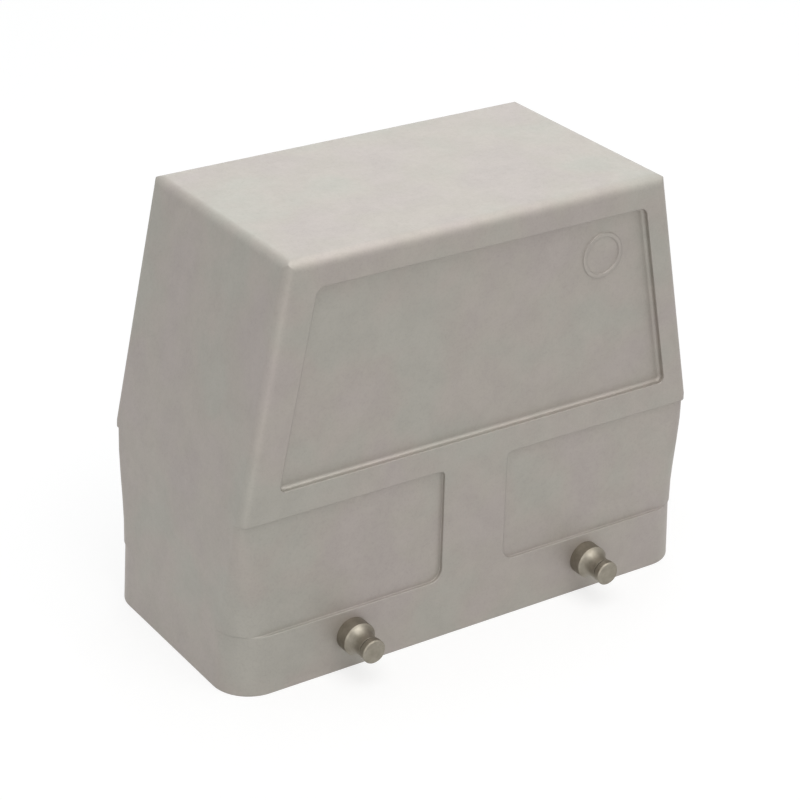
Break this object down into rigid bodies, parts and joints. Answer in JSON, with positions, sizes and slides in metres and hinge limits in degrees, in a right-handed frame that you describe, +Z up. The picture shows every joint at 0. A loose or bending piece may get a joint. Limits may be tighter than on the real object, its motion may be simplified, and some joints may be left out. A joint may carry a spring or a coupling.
{
  "type": "heavy duty rectangular connector",
  "caption": "Die-cast rectangular connector hood with a side cable entry, turned locking pegs and a screwed-in male contact insert with screw terminals.",
  "frame": {"origin": "middle of the hood's rim, in the plane that the rim stands on", "axes": "+Z up from the rim to the roof, +X along the long side towards the cable entry, -Y out of the front with its pegs"},
  "size_m": [0.093, 0.0568, 0.0753],
  "materials": {
    "cast_alloy": "as cast, blasted",
    "peg_steel": "turned",
    "insert_plastic": "moulded",
    "cover_plastic": "moulded",
    "contact_metal": "silver-plated",
    "plated_steel": "zinc-plated",
    "spring_steel": "bright"
  },
  "bodies": {
    "root": {"hood": "cast_alloy", "insert_body": "insert_plastic", "insert_cover": "cover_plastic", "terminal_screws": "plated_steel", "wire_leaves": "spring_steel", "earth_plate_left": "plated_steel", "earth_plate_right": "plated_steel", "earth_screws": "plated_steel", "earth_washers": "plated_steel", "fixing_screws": "plated_steel", "lock_washers": "spring_steel", "locking_peg_front_left": "peg_steel", "locking_peg_front_right": "peg_steel", "locking_peg_rear_left": "peg_steel", "locking_peg_rear_right": "peg_steel", "contact_pin_01": "contact_metal", "contact_pin_02": "contact_metal", "contact_pin_03": "contact_metal", "contact_pin_04": "contact_metal", "contact_pin_05": "contact_metal", "contact_pin_06": "contact_metal", "contact_pin_07": "contact_metal", "contact_pin_08": "contact_metal", "contact_pin_09": "contact_metal", "contact_pin_10": "contact_metal", "contact_pin_11": "contact_metal", "contact_pin_12": "contact_metal", "contact_pin_13": "contact_metal", "contact_pin_14": "contact_metal", "contact_pin_15": "contact_metal", "contact_pin_16": "contact_metal"}
  },
  "joints": []
}
